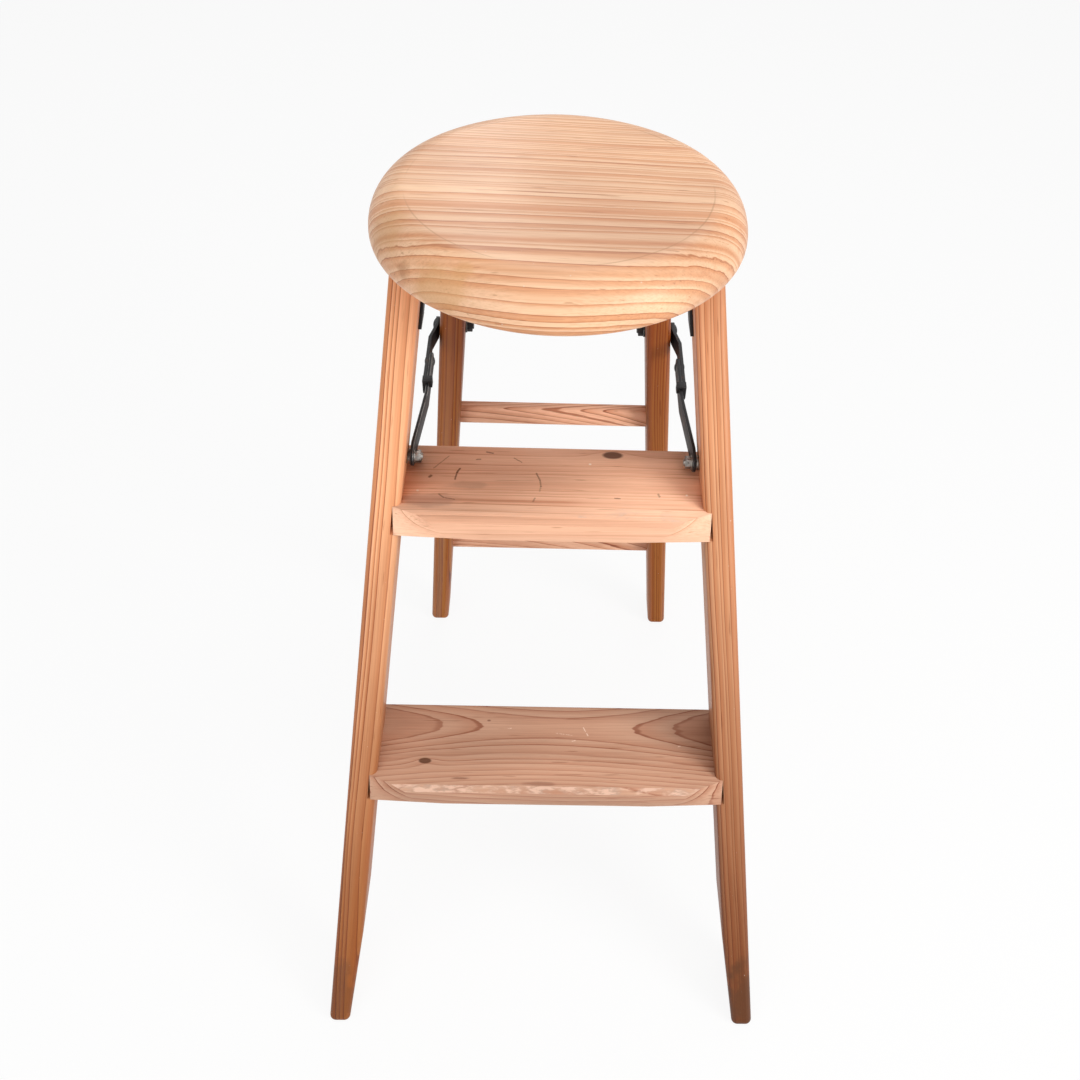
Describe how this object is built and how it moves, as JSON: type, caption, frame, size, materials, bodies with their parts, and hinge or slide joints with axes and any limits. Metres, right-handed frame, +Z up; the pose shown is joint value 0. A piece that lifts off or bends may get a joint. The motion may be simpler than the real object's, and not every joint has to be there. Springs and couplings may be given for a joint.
{
  "type": "folding step stool chair",
  "caption": "Wooden folding step stool with a round seat, splayed front legs with two treads, and a hinged rear frame held by folding steel stays.",
  "frame": {"origin": "on the floor, at the middle of the open stool's outline", "axes": "+Z up, +X to the right seen from the front, -Y towards the front with the treads"},
  "size_m": [0.4266, 0.601, 0.7275],
  "materials": {
    "seat_wood": "varnished, satin",
    "tread_wood": "worn varnish",
    "leg_wood": "worn varnish",
    "black_steel": "black, worn at the edges",
    "zinc_steel": "zinc plated, dull"
  },
  "bodies": {
    "front_frame": {"bracket_leg_screws": "zinc_steel", "bracket_seat_screws": "zinc_steel", "front_leg_left": "leg_wood", "front_leg_right": "leg_wood", "front_stay_bolts": "zinc_steel", "front_stay_nuts": "zinc_steel", "front_stay_washers": "zinc_steel", "hinge_bolts": "zinc_steel", "hinge_nuts": "zinc_steel", "hinge_spacers": "zinc_steel", "hinge_washers": "zinc_steel", "seat": "seat_wood", "seat_bracket_left": "black_steel", "seat_bracket_right": "black_steel", "tread_lower": "tread_wood", "tread_screws": "zinc_steel", "tread_upper": "tread_wood"},
    "rear_frame": {"rear_leg_left": "leg_wood", "rear_leg_right": "leg_wood", "rear_stretcher_upper": "leg_wood", "rear_stretcher_lower": "leg_wood", "stretcher_screws": "zinc_steel", "rear_stay_bolts": "black_steel", "rear_stay_washers": "black_steel", "rear_stay_nuts": "black_steel"},
    "lower_arm_left": {"stay_lower_arm_left": "black_steel", "knee_rivet_inner_left": "black_steel"},
    "lower_arm_right": {"stay_lower_arm_right": "black_steel", "knee_rivet_inner_right": "black_steel"},
    "upper_arm_left": {"stay_upper_arm_left": "black_steel", "knee_rivet_outer_left": "black_steel"},
    "upper_arm_right": {"stay_upper_arm_right": "black_steel", "knee_rivet_outer_right": "black_steel"}
  },
  "joints": [
    {"name": "rear_frame_fold", "type": "hinge", "parent": "front_frame", "child": "rear_frame", "pos_m": [0, 0.14955, 0.653], "axis": [-1, 0, 0], "range_deg": [0, 37]},
    {"name": "lower_arm_left_turn", "type": "hinge", "parent": "front_frame", "child": "lower_arm_left", "pos_m": [-0.12363, -0.01394, 0.5022], "axis": [1, 0, 0], "range_deg": [0, 33.4]},
    {"name": "upper_arm_left_turn", "type": "hinge", "parent": "rear_frame", "child": "upper_arm_left", "pos_m": [-0.11579, 0.17742, 0.5122], "axis": [-1, 0, 0], "range_deg": [0, 62.6]},
    {"name": "lower_arm_right_turn", "type": "hinge", "parent": "front_frame", "child": "lower_arm_right", "pos_m": [0.12363, -0.01394, 0.5022], "axis": [1, 0, 0], "range_deg": [0, 33.4]},
    {"name": "upper_arm_right_turn", "type": "hinge", "parent": "rear_frame", "child": "upper_arm_right", "pos_m": [0.11579, 0.17742, 0.5122], "axis": [-1, 0, 0], "range_deg": [0, 62.6]}
  ],
  "couplings": [
    {"joint": "lower_arm_left_turn", "follows": "rear_frame_fold", "ratio": 0.9015},
    {"joint": "upper_arm_left_turn", "follows": "rear_frame_fold", "ratio": 1.6902},
    {"joint": "lower_arm_right_turn", "follows": "rear_frame_fold", "ratio": 0.9015},
    {"joint": "upper_arm_right_turn", "follows": "rear_frame_fold", "ratio": 1.6902}
  ]
}
